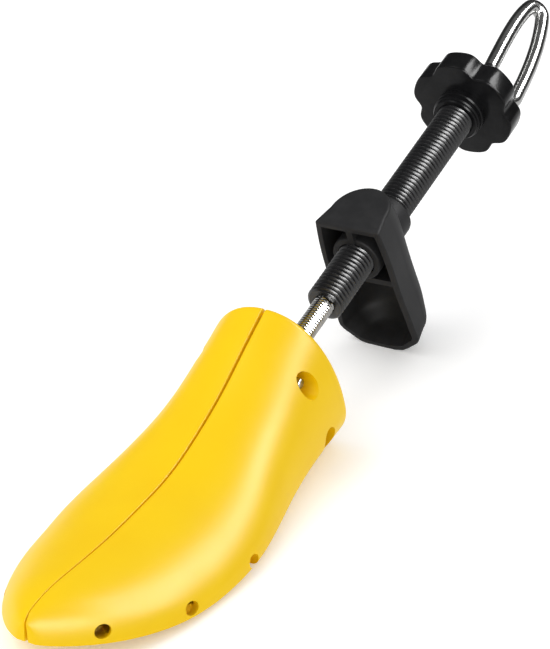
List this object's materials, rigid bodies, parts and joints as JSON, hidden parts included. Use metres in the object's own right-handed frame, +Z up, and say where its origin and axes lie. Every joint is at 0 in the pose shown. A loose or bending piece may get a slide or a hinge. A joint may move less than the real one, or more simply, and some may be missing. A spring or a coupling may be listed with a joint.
{
  "type": "two-way shoe stretcher",
  "caption": "Two-way shoe stretcher: a split fore-foot form hinged at the toe, a heel block on a threaded tube with a lobed knob, and a hook-handled rod that spreads the form.",
  "frame": {"origin": "centre of the bounding box at the floor, under the seam plane", "axes": "+Y from the toe towards the hook handle, +Z up, +X across to the form's right half"},
  "size_m": [0.072, 0.3805, 0.0939],
  "materials": {
    "yellow_plastic": "smooth satin moulding",
    "black_plastic": "satin moulding",
    "black_tube": "threaded, satin",
    "bright_steel": "polished plating",
    "zinc_steel": "plain zinc plating"
  },
  "bodies": {
    "spreader": {"thrust_block": "zinc_steel", "cross_pin_upper": "bright_steel", "cross_pin_lower": "bright_steel", "toe_hinge_pin": "bright_steel"},
    "right_half": {"form_half_right": "yellow_plastic"},
    "left_half": {"form_half_left": "yellow_plastic"},
    "width_screw": {"threaded_rod": "bright_steel", "stop_nut": "zinc_steel", "thrust_collar_front": "zinc_steel", "thrust_collar_rear": "zinc_steel", "collar_pin_front": "bright_steel", "collar_pin_rear": "bright_steel", "hook_handle": "bright_steel", "stop_washer": "zinc_steel", "stop_collar": "zinc_steel", "stop_collar_pin": "bright_steel"},
    "crosshead": {"crosshead_nut": "zinc_steel", "crosshead_pin_right": "bright_steel", "crosshead_pin_left": "bright_steel"},
    "length_screw": {"threaded_tube": "black_tube", "knob": "black_plastic", "knob_retainer": "black_plastic"},
    "heel": {"heel_block": "black_plastic"}
  },
  "joints": [
    {"name": "hook_turn", "type": "hinge", "parent": "spreader", "child": "width_screw", "pos_m": [0, -0.00874, 0.034], "axis": [0, -0.9613, -0.2756], "range_deg": [0, 2880]},
    {"name": "right_half_spread", "type": "hinge", "parent": "spreader", "child": "right_half", "pos_m": [0, -0.1849, 0.01534], "axis": [0, 0.2756, -0.9613], "range_deg": [0, 4.5]},
    {"name": "left_half_spread", "type": "hinge", "parent": "spreader", "child": "left_half", "pos_m": [0, -0.1849, 0.01534], "axis": [0, -0.2756, 0.9613], "range_deg": [0, 4.5]},
    {"name": "crosshead_slide", "type": "slide", "parent": "spreader", "child": "crosshead", "axis": [0, 0.9613, 0.2756], "range_m": [0, 0.01]},
    {"name": "knob_turn", "type": "hinge", "parent": "spreader", "child": "length_screw", "pos_m": [0, -0.00874, 0.034], "axis": [0, -0.9613, -0.2756], "range_deg": [-4500, 10080]},
    {"name": "heel_slide", "type": "slide", "parent": "spreader", "child": "heel", "axis": [0, 0.9613, 0.2756], "range_m": [-0.025, 0.056]}
  ],
  "couplings": [
    {"joint": "right_half_spread", "follows": "hook_turn", "ratio": 0.0015625},
    {"joint": "left_half_spread", "follows": "hook_turn", "ratio": 0.0015625},
    {"joint": "crosshead_slide", "follows": "hook_turn", "m_per_rad": 0.00019894},
    {"joint": "heel_slide", "follows": "knob_turn", "m_per_rad": 0.00031831}
  ]
}
